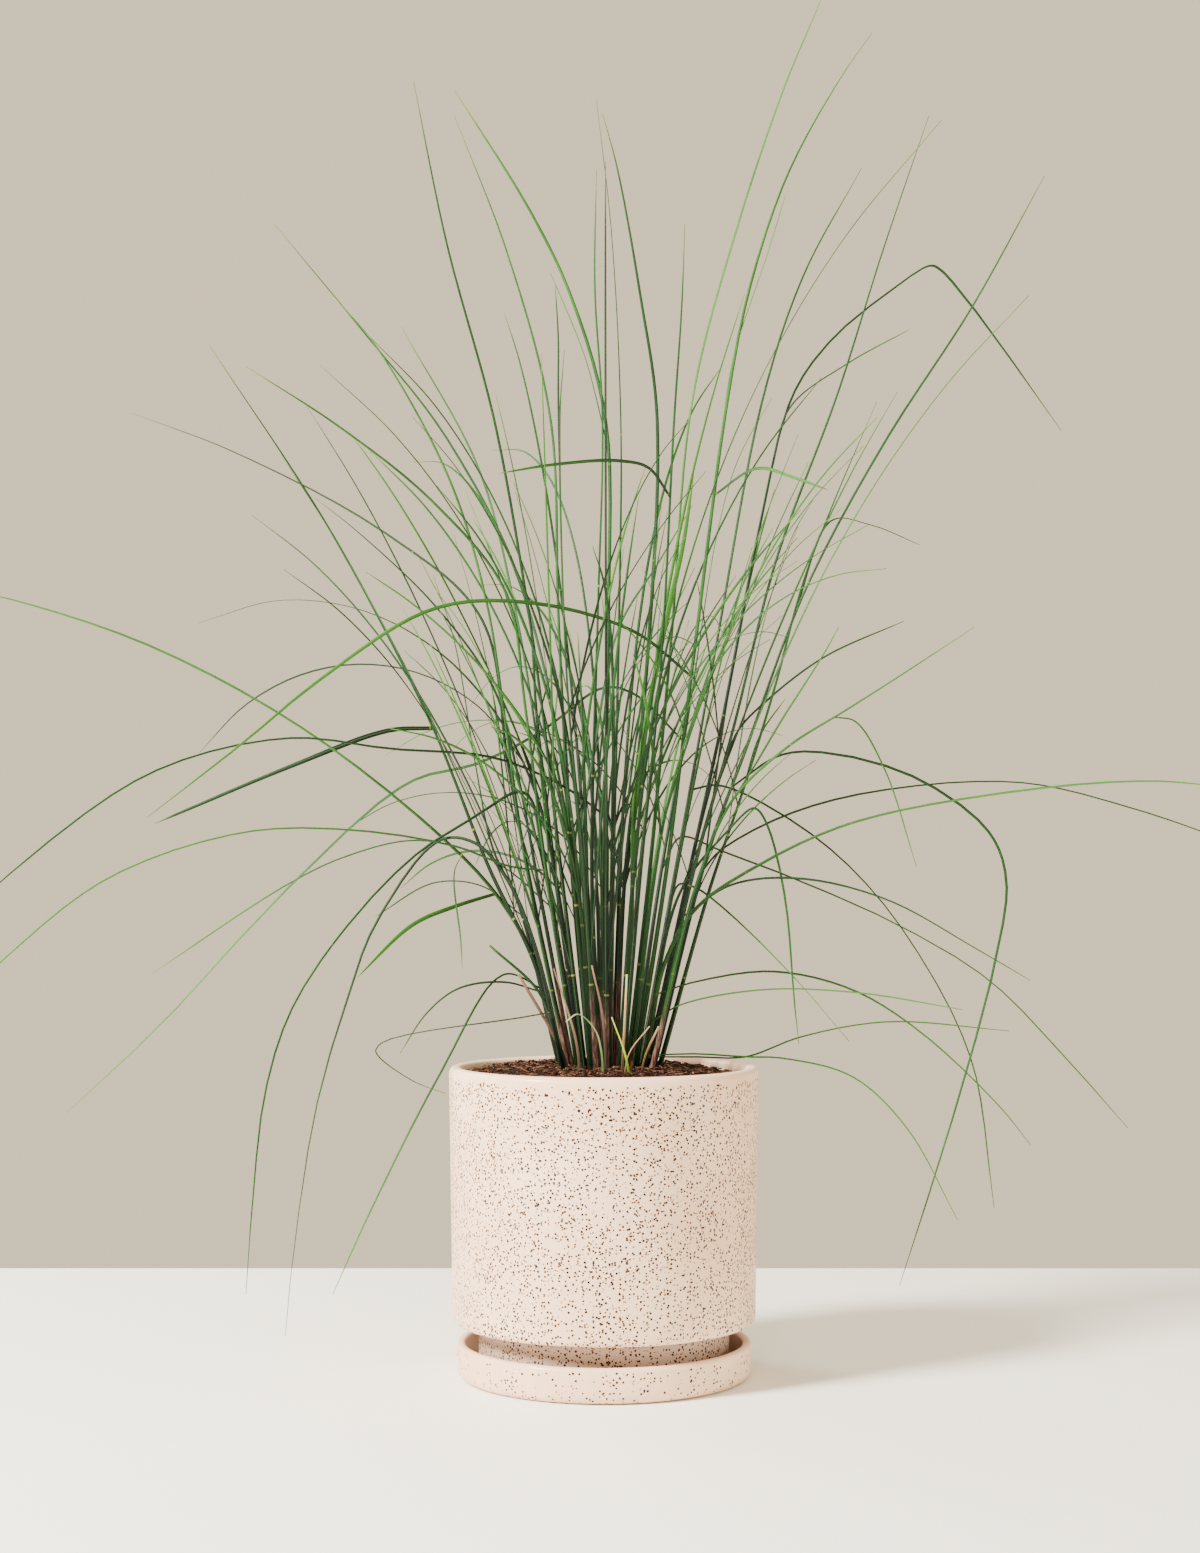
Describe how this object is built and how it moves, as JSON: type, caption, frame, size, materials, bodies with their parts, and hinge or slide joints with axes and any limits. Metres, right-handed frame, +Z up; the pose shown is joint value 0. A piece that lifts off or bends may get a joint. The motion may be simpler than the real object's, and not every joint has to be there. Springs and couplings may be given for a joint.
{
  "type": "potted ornamental grass",
  "caption": "Potted white cloud muhly grass: a fountain of slender arching stems and blades in a speckled cylinder pot on a saucer.",
  "frame": {"origin": "middle of the saucer's flat underside", "axes": "+Z up along the pot's axis, +X to the right and +Y to the back as the plant is seen in the picture"},
  "size_m": [0.8743, 0.6695, 0.9275],
  "materials": {
    "glaze": "gloss",
    "potting_mix": "matte",
    "green_blade": "satin",
    "dry_sheath": "matte"
  },
  "bodies": {
    "root": {"saucer": "glaze", "pot": "glaze", "soil": "potting_mix", "leafy_stem_01": "green_blade", "leafy_stem_02": "green_blade", "leafy_stem_03": "green_blade", "leafy_stem_04": "green_blade", "leafy_stem_05": "green_blade", "leafy_stem_06": "green_blade", "leafy_stem_07": "green_blade", "leafy_stem_08": "green_blade", "leafy_stem_09": "green_blade", "leafy_stem_10": "green_blade", "leafy_stem_11": "green_blade", "leafy_stem_12": "green_blade", "leafy_stem_13": "green_blade", "leafy_stem_14": "green_blade", "leafy_stem_15": "green_blade", "leafy_stem_16": "green_blade", "leafy_stem_17": "green_blade", "leafy_stem_18": "green_blade", "leafy_stem_19": "green_blade", "leafy_stem_20": "green_blade", "leafy_stem_21": "green_blade", "leafy_stem_22": "green_blade", "leafy_stem_23": "green_blade", "leafy_stem_24": "green_blade", "leafy_stem_25": "green_blade", "leafy_stem_26": "green_blade", "leafy_stem_27": "green_blade", "leafy_stem_28": "green_blade", "leafy_stem_29": "green_blade", "leafy_stem_30": "green_blade", "leafy_stem_31": "green_blade", "leafy_stem_32": "green_blade", "leafy_stem_33": "green_blade", "leafy_stem_34": "green_blade", "leafy_stem_35": "green_blade", "leafy_stem_36": "green_blade", "leafy_stem_37": "green_blade", "leafy_stem_38": "green_blade", "leafy_stem_39": "green_blade", "leafy_stem_40": "green_blade", "leafy_stem_41": "green_blade", "leafy_stem_42": "green_blade", "leafy_stem_43": "green_blade", "leafy_stem_44": "green_blade", "leafy_stem_45": "green_blade", "leafy_stem_46": "green_blade", "leafy_stem_47": "green_blade", "cut_culm_brown": "dry_sheath", "cut_culm_dark": "green_blade", "dry_sheath_left": "dry_sheath", "dry_sheath_middle": "dry_sheath", "dry_sheath_right": "dry_sheath", "dry_straw": "dry_sheath", "forked_straw": "dry_sheath", "young_blade": "green_blade", "curled_blade": "green_blade"}
  },
  "joints": []
}
